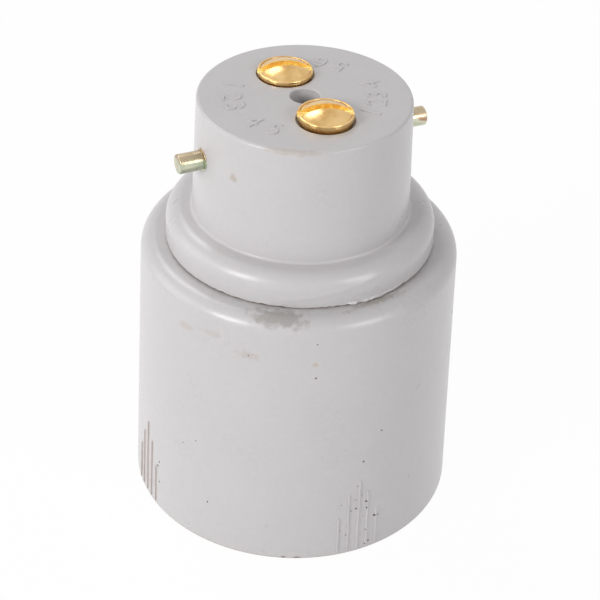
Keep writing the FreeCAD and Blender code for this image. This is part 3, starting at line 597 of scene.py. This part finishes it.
@material("seamless_paper_white")
def floor_paper(tree, coords, colours):
    """White background paper with faint fibres, drawn coarser than real ones."""
    share = add_node(tree, "Math", {0: shows_background(tree), 1: PAPER_GLOW}, operation="MULTIPLY")
    fibres = add_node(tree, "TexNoise", {"Vector": coords, "Scale": 1 / (2.5 * MM), "Detail": 3.0})
    tone = add_node(tree, "Mix", {"Factor": fibres, "A": colours.floor, "B": PAPER_FIBRE}, data_type="RGBA")
    paper = add_node(tree, "BsdfDiffuse", {"Color": tone})
    glow = add_node(tree, "Emission", {"Color": (1, 1, 1, 1), "Strength": 1.0})
    return add_node(tree, "MixShader", {0: share, 1: paper, 2: glow})


# Pieces

def make_rib(sizes, tall, seed, brown):
    """One grip rib: a small round section carried up the drafted wall, a little uneven."""
    dice = random.Random(seed)
    foot = 0.42 * MM
    draft = (sizes.mouth_radius - sizes.shoulder_radius) / SLEEVE_TOP
    width = 0.35
    centre = Vector((sizes.mouth_radius - foot * draft, 0, foot))
    deselect()
    bpy.ops.mesh.primitive_circle_add(vertices=12, radius=sizes.rib_width / 2, fill_type="NGON",
                                      location=centre)
    piece = name_new("rib")
    bpy.ops.object.transform_apply()
    open_mesh("FACE")
    bpy.ops.transform.resize(value=(width, width, 1), center_override=centre)
    runs = [0.12 * MM, 0.15 * MM]
    while sum(runs) < tall - foot - 0.45 * MM:
        runs.append(dice.uniform(0.45, 0.8) * MM)
    runs += [0.2 * MM, 0.15 * MM]
    for number, run in enumerate(runs):
        step = Vector((-run * draft, dice.uniform(-0.02, 0.02) * MM, run))
        bpy.ops.mesh.extrude_region_move(TRANSFORM_OT_translate={"value": step})
        centre += step
        wanted = dice.uniform(0.86, 1.04)
        # The first section and the last two taper the rib's ends.
        wanted = {0: 0.8, len(runs) - 2: 0.75, len(runs) - 1: 0.25}.get(number, wanted)
        bpy.ops.transform.resize(value=(wanted / width, wanted / width, 1), center_override=centre)
        width = wanted
    close_mesh()
    dress(piece, moulded_plastic(), rib_grime())
    # Painted shade: on the left ribs, the faces turned to the rib's +Y side get the brownish film colour.
    for face in piece.data.polygons:
        face.material_index = 1 if brown and face.normal.y > 0.5 else 0
    return piece


def make_pits(sizes):
    """Rough little balls that stand where the mould's skin has pits."""
    pits = []
    draft = (sizes.mouth_radius - sizes.shoulder_radius) / SLEEVE_TOP
    for number, (angle, up, width) in enumerate(PITS):
        deselect()
        bpy.ops.mesh.primitive_ico_sphere_add(subdivisions=2, radius=0.4 * width * MM)
        pit = name_new(f"pit_{number}")
        open_mesh()
        bpy.ops.transform.vertex_random(offset=0.025 * MM, uniform=1.0, normal=0.0, seed=number)
        bpy.ops.object.mode_set(mode="OBJECT")
        wall = sizes.mouth_radius - up * MM * draft
        # Near the ribs a ball stands further out, so that it dents them too.
        near_rib = up < 10 and min(abs((angle - at + 180) % 360 - 180) for at in RIB_ANGLES) < 8
        reach = wall + 0.05 * MM if near_rib else wall - 0.02 * MM
        pits.append(place(pit, polar(angle, reach, up * MM)))
    return pits


class ADAPTER_OT_sleeve(bpy.types.Operator):
    """Turn the sleeve, add its grip ribs, drill its floor and sink its pits"""
    bl_idname = "adapter.sleeve"
    bl_label = "Sleeve"

    def execute(self, context):
        sizes = context.scene.adapter_sizes
        seat_floor = CAP_FOOT - 0.1 * MM
        profile = rounded([
            (0, FLOOR),
            (sizes.bore_floor_radius, FLOOR, 0.8 * MM),
            (sizes.bore_mouth_radius, 0, 0.25 * MM),
            (sizes.mouth_radius, 0, 0.28 * MM),
            (sizes.shoulder_radius, SLEEVE_TOP, sizes.shoulder_rounding),
            (sizes.seat_radius, SLEEVE_TOP, 0.1 * MM),
            (sizes.seat_radius, seat_floor),
            (0, seat_floor),
        ], steps=10)
        piece = turned("sleeve_moulding", finer(profile, 2.4 * MM))
        grime = seam_grime()
        dress(piece, moulded_plastic(), grime)

        ribs = []
        for group, middle in enumerate(RIB_ANGLES):
            for number, top in enumerate(RIB_TOPS):
                rib = make_rib(sizes, top * MM, sizes.rib_seed + 10 * group + number, middle == BROWN_RIBS)
                angle = group * math.pi / 2 + (number - 2) * sizes.rib_pitch / sizes.mouth_radius
                ribs.append(place(rib, turn=(0, 0, angle)))
        carve(piece, ribs, "UNION")

        pits = make_pits(sizes)
        for pit in pits:
            dress(pit, grime)
        carve(piece, pits)
        carve(piece, [rod("hole", SCREW_HOLE, 6 * MM, (0, y, FLOOR)) for y in (SCREW_Y, -SCREW_Y)])
        smooth(piece)
        finish_piece(piece, ["sleeve"])
        return {"FINISHED"}


def make_numbers(places, sizes):
    """Plain numbers for the end face, their feet outward, each sunk a little into the face."""
    numbers = []
    for count, (angle, radius) in enumerate(places, 1):
        deselect()
        bpy.ops.object.text_add()
        text = bpy.context.object
        text.data.body = str(count)
        text.data.align_x = "CENTER"
        text.data.align_y = "CENTER"
        text.data.resolution_u = 4
        text.data.extrude = sizes.number_relief / sizes.number_height
        bpy.ops.object.convert(target="MESH")
        piece = name_new(f"number_{count}")
        size = sizes.number_height / piece.dimensions.y
        place(piece, polar(angle, radius * MM, CAP_TOP), (0, 0, math.radians(angle) + math.pi / 2),
              (size, size, sizes.number_height))
        open_mesh()
        close_mesh(merge=True)
        numbers.append(piece)
    return numbers


def collar_unevenness(co):
    """How the collar's wall departs from round: a ragged foot, a low flash and a slanting flow line."""
    reach = math.hypot(co.x, co.y)
    up = co.z - SLEEVE_TOP
    if reach < COLLAR_REACH - 1.9 * MM or not -1e-6 <= up < 3.7 * MM:
        return Vector()
    angle = math.degrees(math.atan2(co.y, co.x))
    outward = Vector((co.x, co.y, 0)) / reach
    if up < 0.25 * MM and reach > COLLAR_REACH - 0.2 * MM:
        jag = noise.noise(co / (0.5 * MM)) + 0.5 * noise.noise(co / (1.7 * MM))
        flash = ease(-abs(angle - FLASH_ANGLE), -15, -9) * (0.16 + 0.2 * noise.noise(co / (0.7 * MM)))
        return outward * (0.1 * jag + flash) * MM + Vector((0, 0, 0.22 * MM * max(jag, -0.3)))
    # The flow line starts 0.9 mm above the shoulder and rises by 1.9 mm in 45 degrees.
    slant = 0.9 * MM + (angle - FLOW_START) / 45 * 1.9 * MM
    crest = math.exp(-((up - slant) / (0.2 * MM)) ** 2) * ease(-abs(angle - FLOW_ANGLE), -27, -18)
    return outward * 0.05 * MM * crest


class ADAPTER_OT_bayonet_cap(bpy.types.Operator):
    """Turn the hollow bayonet cap, with its screw tubes, webs, pin blocks, holes and moulded numbers"""
    bl_idname = "adapter.bayonet_cap"
    bl_label = "Bayonet cap"

    def execute(self, context):
        sizes = context.scene.adapter_sizes
        spigot = sizes.cavity_radius + 2.1 * MM
        cavity_top = CAP_TOP - sizes.end_wall
        collar_top = SLEEVE_TOP + sizes.collar_height
        profile = rounded([
            (0, cavity_top),
            (sizes.cavity_radius - 0.4 * MM, cavity_top, 0.3 * MM),
            (sizes.cavity_radius, CAP_FOOT, 0.15 * MM),
            (spigot, CAP_FOOT, 0.2 * MM),
            (spigot, SLEEVE_TOP),
            (COLLAR_REACH - 0.16 * MM, SLEEVE_TOP),
            (COLLAR_REACH - 0.13 * MM, SLEEVE_TOP + 0.1 * MM),
            (COLLAR_REACH, SLEEVE_TOP + 0.24 * MM),
            (COLLAR_REACH, collar_top, sizes.collar_rounding),
            (sizes.neck_base_radius, collar_top, 0.3 * MM),
            (sizes.neck_top_radius, CAP_TOP, 0.3 * MM),
            (0, CAP_TOP),
        ], steps=10)
        # The collar's wall gets a finer mesh than the rest, for its uneven foot and its flow line.
        wall = [point for point in profile if point.x > COLLAR_REACH - 0.5 * MM]
        first = profile.index(wall[0])
        last = first + len(wall) - 1
        points = finer(profile[:first + 1], 3 * MM) + finer(wall, 0.2 * MM)[1:]
        points += finer(profile[last:], 3 * MM)[1:]
        piece = turned("bayonet_cap_moulding", points)
        dress(piece, moulded_plastic(), seam_grime())
        for face in piece.data.polygons:
            middle = face.center
            if math.hypot(middle.x, middle.y) > COLLAR_REACH - 0.2 * MM and middle.z < SLEEVE_TOP + 0.2 * MM:
                face.material_index = 1
        shift(piece, collar_unevenness)

        inside = []
        tall = cavity_top - CAP_FOOT + 0.8 * MM
        middle = CAP_FOOT + tall / 2
        for side in (1, -1):
            inside.append(rod("tube", 3 * MM, tall, (0, side * SCREW_Y, middle), sides=96))
        wide = sizes.cavity_radius + 0.5 * MM - SCREW_Y
        for side in (1, -1):
            inside.append(block("web", (0, side * (SCREW_Y + wide / 2), middle), (1.2 * MM, wide, tall)))
        foot = PIN_HEIGHT - 2.2 * MM
        high = cavity_top + 0.8 * MM - foot
        inner, outer = PIN_START - 0.8 * MM, sizes.cavity_radius + 0.4 * MM
        for side in (1, -1):
            inside.append(block("block", (side * (inner + outer) / 2, 0, foot + high / 2),
                                (outer - inner, 4.4 * MM, high)))
        for part in inside:
            carve(piece, [part], "UNION")

        cutters = []
        recess_radius = sizes.head_radius + 0.1 * MM
        for side in (1, -1):
            recess = turned("recess", rounded([
                (0, CAP_FOOT - 2 * MM), (SCREW_HOLE, CAP_FOOT - 2 * MM), (SCREW_HOLE, CAP_TOP - 0.5 * MM),
                (recess_radius, CAP_TOP - 0.5 * MM), (recess_radius, CAP_TOP - 0.08 * MM),
                (recess_radius + 0.1 * MM, CAP_TOP + 0.02 * MM), (recess_radius + 0.1 * MM, CAP_TOP + MM),
                (0, CAP_TOP + MM)]), 96)
            cutters.append(place(recess, (0, side * SCREW_Y, 0)))
        cutters.append(turned("centre_hole", rounded([
            (0, cavity_top - MM), (1.5 * MM, cavity_top - MM), (1.5 * MM, CAP_TOP - 0.1 * MM),
            (1.62 * MM, CAP_TOP + 0.02 * MM), (1.62 * MM, CAP_TOP + MM), (0, CAP_TOP + MM)]), 64))
        for side in (1, -1):
            cutters.append(rod("pin_hole", 1.19 * MM, 8 * MM, (side * (PIN_START + 4 * MM), 0, PIN_HEIGHT),
                               (0, math.pi / 2, 0)))
        carve(piece, cutters)
        carve(piece, make_numbers(NUMBERS_RIGHT, sizes) + make_numbers(NUMBERS_LEFT, sizes), "UNION")
        smooth(piece)
        finish_piece(piece, ["bayonet_cap"])
        return {"FINISHED"}


class ADAPTER_OT_bayonet_pins(bpy.types.Operator):
    """Turn one bayonet pin and set a copy on each side"""
    bl_idname = "adapter.bayonet_pins"
    bl_label = "Bayonet pins"

    def execute(self, context):
        sizes = context.scene.adapter_sizes
        neck = PIN_END - 2.54 * MM
        profile = rounded([
            (0, PIN_START), (1.18 * MM, PIN_START, 0.1 * MM), (1.18 * MM, neck, 0.05 * MM),
            (sizes.pin_radius - 0.04 * MM, neck), (sizes.pin_radius - 0.04 * MM, neck + 0.12 * MM),
            (sizes.pin_radius, neck + 0.18 * MM), (sizes.pin_radius, PIN_END - 0.02 * MM, 0.1 * MM),
            (sizes.pin_radius - 0.16 * MM, PIN_END, 0.06 * MM), (0, PIN_END - 0.03 * MM)], steps=5)
        right = place(turned("bayonet_pin_right_turned", profile, 96), turn=(0, math.pi / 2, 0))
        left = place(copy_of(right, "bayonet_pin_left_turned"), turn=(0, 0, math.pi))
        for piece, side in ((right, "right"), (left, "left")):
            place(piece, (0, 0, PIN_HEIGHT))
            dress(piece, passivated_zinc())
            smooth(piece)
            finish_piece(piece, [f"bayonet_pin_{side}"])
        return {"FINISHED"}


def cut_thread(piece, radius, pitch, low, high, depth):
    """Move the shank's skin in along a right-hand helix between two heights."""
    def move(co):
        reach = math.hypot(co.x, co.y)
        if reach < radius - 1e-5 or not low < co.z < high:
            return Vector()
        phase = co.z / pitch - math.atan2(co.y, co.x) / math.tau
        fade = ease(co.z, low, low + pitch) * ease(-co.z, -high, -high + pitch)
        groove = abs(2 * (phase % 1) - 1) * depth * fade
        return Vector((-co.x, -co.y, 0)) * (groove / reach)
    shift(piece, move)


class ADAPTER_OT_contact_screws(bpy.types.Operator):
    """Turn a domed contact screw with a threaded end, saw its slot, and set one at each side"""
    bl_idname = "adapter.contact_screws"
    bl_label = "Contact screws"

    def execute(self, context):
        sizes = context.scene.adapter_sizes
        rim = sizes.rim_height
        # The dome starts in a groove inside the rim. ball is the radius of the sphere that it is part of.
        foot = sizes.head_radius - 0.3 * MM
        rise = sizes.dome_height + 0.06 * MM
        ball = (foot ** 2 + rise ** 2) / (2 * rise)
        half = math.asin(foot / ball)
        dome = [Vector((ball * math.sin(half * step / 24), rim + sizes.dome_height - ball
                        + ball * math.cos(half * step / 24))) for step in range(24, -1, -1)]
        brass, sawn = polished_brass(), slot_brass()
        for side, sign, turn in (("front", -1, -17.0), ("rear", 1, -15.0)):
            low, high = SCREWS[side]
            seat = high[2] - HEAD_TOP
            end = low[2] - seat
            shank = rounded([
                (0, end), (sizes.shank_radius - 0.3 * MM, end), (sizes.shank_radius, end + 0.3 * MM),
                (sizes.shank_radius, end + 4 * MM)])
            head = rounded([
                (sizes.shank_radius, 0), (sizes.head_radius - 0.1 * MM, 0),
                (sizes.head_radius - 0.05 * MM, 0.4 * rim), (sizes.head_radius, 0.62 * rim, 0.12 * MM),
                (sizes.head_radius, rim, 0.14 * MM), (foot + 0.06 * MM, rim, 0.08 * MM),
                (foot + 0.02 * MM, rim - 0.12 * MM)])
            outline = shank[:3] + finer(shank[2:], 0.06 * MM)[1:] + head + dome
            piece = turned(f"contact_screw_{side}_turned", outline, 128)
            dress(piece, brass, sawn)
            cut_thread(piece, sizes.shank_radius, pitch=0.5 * MM, low=end + 0.3 * MM, high=end + 4 * MM,
                       depth=0.25 * MM)
            bpy.ops.mesh.primitive_cube_add(size=1)
            saw = name_new("saw")
            open_mesh("EDGE")
            bpy.ops.mesh.select_all(action="DESELECT")
            bpy.ops.object.mode_set(mode="OBJECT")
            # The two long lower edges are rounded, so the slot's floor is too.
            for edge in saw.data.edges:
                ends = [saw.data.vertices[number].co for number in edge.vertices]
                edge.select = all(end_point.z < 0 for end_point in ends) and ends[0].y == ends[1].y
            place(saw, (0, 0, rim + sizes.dome_height - sizes.slot_depth + MM),
                  scale=(8 * MM, sizes.slot_width, 2 * MM))
            bpy.ops.object.mode_set(mode="EDIT")
            bpy.ops.mesh.bevel(offset=0.12 * MM, segments=3)
            bpy.ops.object.mode_set(mode="OBJECT")
            dress(saw, sawn)
            carve(piece, [saw])
            place(piece, (0, sign * SCREW_Y, seat), (0, 0, math.radians(turn)))
            smooth(piece)
            finish_piece(piece, [f"contact_screw_{side}"])
        return {"FINISHED"}


class ADAPTER_OT_contact_nuts(bpy.types.Operator):
    """Cut a thin bevelled hexagon nut and set one on each screw"""
    bl_idname = "adapter.contact_nuts"
    bl_label = "Contact nuts"

    def execute(self, context):
        sizes = context.scene.adapter_sizes
        flat = sizes.nut_flats / 2
        across = sizes.nut_flats / math.cos(math.pi / 6) / 2
        tall = NUTS["front"][1][2] - NUTS["front"][0][2]
        bevel = (across - flat) * math.tan(math.radians(35))
        front = rod("contact_nut_front_cut", across, tall, (0, 0, tall / 2), sides=6)
        blank = turned("bevelled_blank", rounded([
            (0, 0), (flat - 0.05 * MM, 0), (across + 0.1 * MM, bevel), (across + 0.1 * MM, tall - 0.1 * MM),
            (flat, tall), (0, tall)]), 96)
        carve(front, [blank], "INTERSECT")
        bore = turned("bore", rounded([
            (0, -MM), (NUT_BORE + 0.2 * MM, -MM), (NUT_BORE + 0.2 * MM, 0), (NUT_BORE, 0.2 * MM),
            (NUT_BORE, tall - 0.15 * MM), (NUT_BORE + 0.15 * MM, tall), (NUT_BORE + 0.15 * MM, tall + MM),
            (0, tall + MM)]), 64)
        carve(front, [bore])
        rear = copy_of(front, "contact_nut_rear_cut")
        for piece, side in ((front, "front"), (rear, "rear")):
            low, high = NUTS[side]
            place(piece, (0, (low[1] + high[1]) / 2, low[2]))
            dress(piece, nut_brass())
            smooth(piece, 20.0)
            finish_piece(piece, [f"contact_nut_{side}"])
        return {"FINISHED"}


class ADAPTER_OT_thread_shell(bpy.types.Operator):
    """Draw the screw shell from sheet, roll its right-hand thread and open its end"""
    bl_idname = "adapter.thread_shell"
    bl_label = "Thread shell"

    def execute(self, context):
        sizes = context.scene.adapter_sizes
        cup = sizes.crest_radius + 0.545 * MM
        end = FLOOR - sizes.sheet
        profile = rounded([
            (sizes.root_radius, SHELL_MOUTH), (cup, 21.5 * MM), (cup, end, 0.9 * MM), (0, end)])
        piece = turned("thread_shell_rolled", finer(profile, 0.3 * MM), 192)
        mean = (sizes.crest_radius + sizes.root_radius) / 2
        depth = (sizes.root_radius - sizes.crest_radius) / 2

        def roll(co):
            reach = math.hypot(co.x, co.y)
            if co.z > 24 * MM or reach < 12 * MM:
                return Vector()
            phase = (co.z - 5 * MM) / sizes.thread_pitch - math.atan2(co.y, co.x) / math.tau
            wave = -math.cos(math.tau * phase)
            # The thread fades in above the shell's mouth and out where the plain cup starts.
            threaded = mean + depth * max(-1.0, min(1.0, 1.15 * wave))
            wanted = sizes.root_radius + (threaded - sizes.root_radius) * ease(co.z, 3 * MM, 4.6 * MM)
            wanted += (cup - wanted) * ease(co.z, 20.3 * MM, 22.4 * MM)
            return Vector((co.x, co.y, 0)) * (wanted / reach - 1)
        shift(piece, roll)

        wall = next(face for face in piece.data.polygons if abs(face.normal.z) < 0.5)
        outward = wall.normal.dot(Vector((wall.center.x, wall.center.y, 0))) > 0
        apply_modifier(piece, "SOLIDIFY", thickness=sizes.sheet, offset=1.0 if outward else -1.0)
        carve(piece, [rod("window", 6.2 * MM, 3 * MM, (0, -4.8 * MM, FLOOR), sides=96)])
        carve(piece, [rod("hole", SCREW_HOLE, 3 * MM, (0, SCREW_Y, FLOOR), sides=48)])
        dress(piece, rolled_aluminium())
        smooth(piece)
        finish_piece(piece, ["thread_shell"])
        return {"FINISHED"}


class ADAPTER_OT_centre_contact(bpy.types.Operator):
    """Fold the centre contact from brass strip, round its ends and pierce it for the screw"""
    bl_idname = "adapter.centre_contact"
    bl_label = "Centre contact"

    def execute(self, context):
        sizes = context.scene.adapter_sizes
        root = FLOOR - sizes.strip / 2
        fold = FOLD_Y + sizes.strip / 2
        path = rounded([
            (-1.7 * MM, root), (fold, root, 0.5 * MM), (fold, root - 3 * MM, 0.5 * MM),
            (-0.3 * MM, root - 4.5 * MM, 1.6 * MM), (1 * MM, root - 4.1 * MM)], steps=8)
        points = path[:2] + finer(path[1:-1], 0.3 * MM)[1:] + path[-1:]
        piece = draw_line("centre_contact_folded", points, "YZ")
        bpy.ops.mesh.select_all(action="SELECT")
        bpy.ops.mesh.extrude_region_move(TRANSFORM_OT_translate={"value": (sizes.strip_width, 0, 0)})
        bpy.ops.mesh.select_all(action="SELECT")
        bpy.ops.transform.translate(value=(-sizes.strip_width / 2, 0, 0))
        bpy.ops.mesh.normals_make_consistent()
        bpy.ops.mesh.select_all(action="DESELECT")
        bpy.ops.object.mode_set(mode="OBJECT")
        for vertex in piece.data.vertices:
            at_root = abs(vertex.co.y + 1.7 * MM) < 1e-5 and vertex.co.z > root - MM
            at_tip = abs(vertex.co.y - MM) < 1e-5 and vertex.co.z < root - MM
            vertex.select = at_root or at_tip
        bpy.ops.object.mode_set(mode="EDIT")
        bpy.ops.mesh.bevel(offset=0.7 * MM, segments=6, affect="VERTICES")
        bpy.ops.object.mode_set(mode="OBJECT")
        apply_modifier(piece, "SOLIDIFY", thickness=sizes.strip, offset=0.0, use_even_offset=True)
        carve(piece, [rod("hole", SCREW_HOLE, 2 * MM, (0, -SCREW_Y, root), sides=48)])
        dress(piece, strip_brass())
        smooth(piece)
        finish_piece(piece, ["centre_contact"], None)
        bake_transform(piece)
        return {"FINISHED"}


# Stage

def aimed(name, data, aim, distance, azimuth, elevation, roll=0.0):
    """A lamp or camera that looks at a point. Its azimuth is measured from -Y."""
    thing = bpy.data.objects.new(name, data)
    bpy.context.collection.objects.link(thing)
    turn, lift = math.radians(azimuth), math.radians(elevation)
    back = Vector((math.sin(turn) * math.cos(lift), -math.cos(turn) * math.cos(lift), math.sin(lift)))
    thing.location = aim + back * distance
    rolled = Matrix.Rotation(math.radians(roll), 3, "Z")
    thing.rotation_euler = (back.to_track_quat("Z", "Y").to_matrix() @ rolled).to_euler()
    return thing


class ADAPTER_OT_stage(bpy.types.Operator):
    """Lay the pale floor, and set the softboxes, the plain surroundings and the camera"""
    bl_idname = "adapter.stage"
    bl_label = "Stage"

    def execute(self, context):
        deselect()
        bpy.ops.mesh.primitive_plane_add(size=6, location=(0, 0, -0.02 * MM))
        floor = name_new("floor")
        bpy.ops.object.transform_apply()
        dress(floor, floor_paper())

        world = bpy.data.worlds.new("plain_studio")
        context.scene.world = world
        world.use_nodes = True
        sky = world.node_tree
        sky.nodes.clear()
        level = add_node(sky, "MapRange", {"Value": shows_background(sky), "To Min": SURROUNDINGS})
        plain = add_node(sky, "Background", {"Color": (1, 1, 1, 1), "Strength": level})
        add_node(sky, "OutputWorld", {"Surface": plain})

        for name, azimuth, elevation, side, power in SOFTBOXES:
            lamp = bpy.data.lights.new(name, "AREA")
            lamp.shape = "SQUARE"
            lamp.size = side
            lamp.energy = power
            aimed(name, lamp, SOFTBOX_AIM, SOFTBOX_DISTANCE, azimuth, elevation)

        context.scene.view_settings.view_transform = "Standard"
        camera = bpy.data.cameras.new("camera")
        camera.lens = CAMERA_LENS
        camera.sensor_width = 36.0
        camera.clip_start = 0.01
        context.scene.camera = aimed("camera", camera, CAMERA_AIM, CAMERA_DISTANCE, *CAMERA_ANGLES)
        return {"FINISHED"}


class ADAPTER_PT_panel(bpy.types.Panel):
    bl_idname = "ADAPTER_PT_panel"
    bl_label = "Lamp socket adapter"
    bl_space_type = "VIEW_3D"
    bl_region_type = "UI"
    bl_category = "Adapter"

    def draw(self, context):
        column = self.layout.column()
        for operator in OPERATORS:
            column.operator(operator.bl_idname)
        for group in (context.scene.adapter_sizes, context.scene.adapter_colours):
            for name in group.__annotations__:
                column.prop(group, name)


OPERATORS = (
    ADAPTER_OT_sleeve,
    ADAPTER_OT_bayonet_cap,
    ADAPTER_OT_bayonet_pins,
    ADAPTER_OT_contact_screws,
    ADAPTER_OT_contact_nuts,
    ADAPTER_OT_thread_shell,
    ADAPTER_OT_centre_contact,
    ADAPTER_OT_stage,
)
CLASSES = (AdapterSizes, AdapterColours, *OPERATORS, ADAPTER_PT_panel)


def register():
    for cls in CLASSES:
        bpy.utils.register_class(cls)
    bpy.types.Scene.adapter_sizes = PointerProperty(type=AdapterSizes)
    bpy.types.Scene.adapter_colours = PointerProperty(type=AdapterColours)


def unregister():
    del bpy.types.Scene.adapter_colours
    del bpy.types.Scene.adapter_sizes
    for cls in reversed(CLASSES):
        bpy.utils.unregister_class(cls)


def main():
    register()
    for operator in OPERATORS:
        getattr(bpy.ops.adapter, operator.bl_idname.split(".")[1])()


if __name__ == "__main__":
    main()
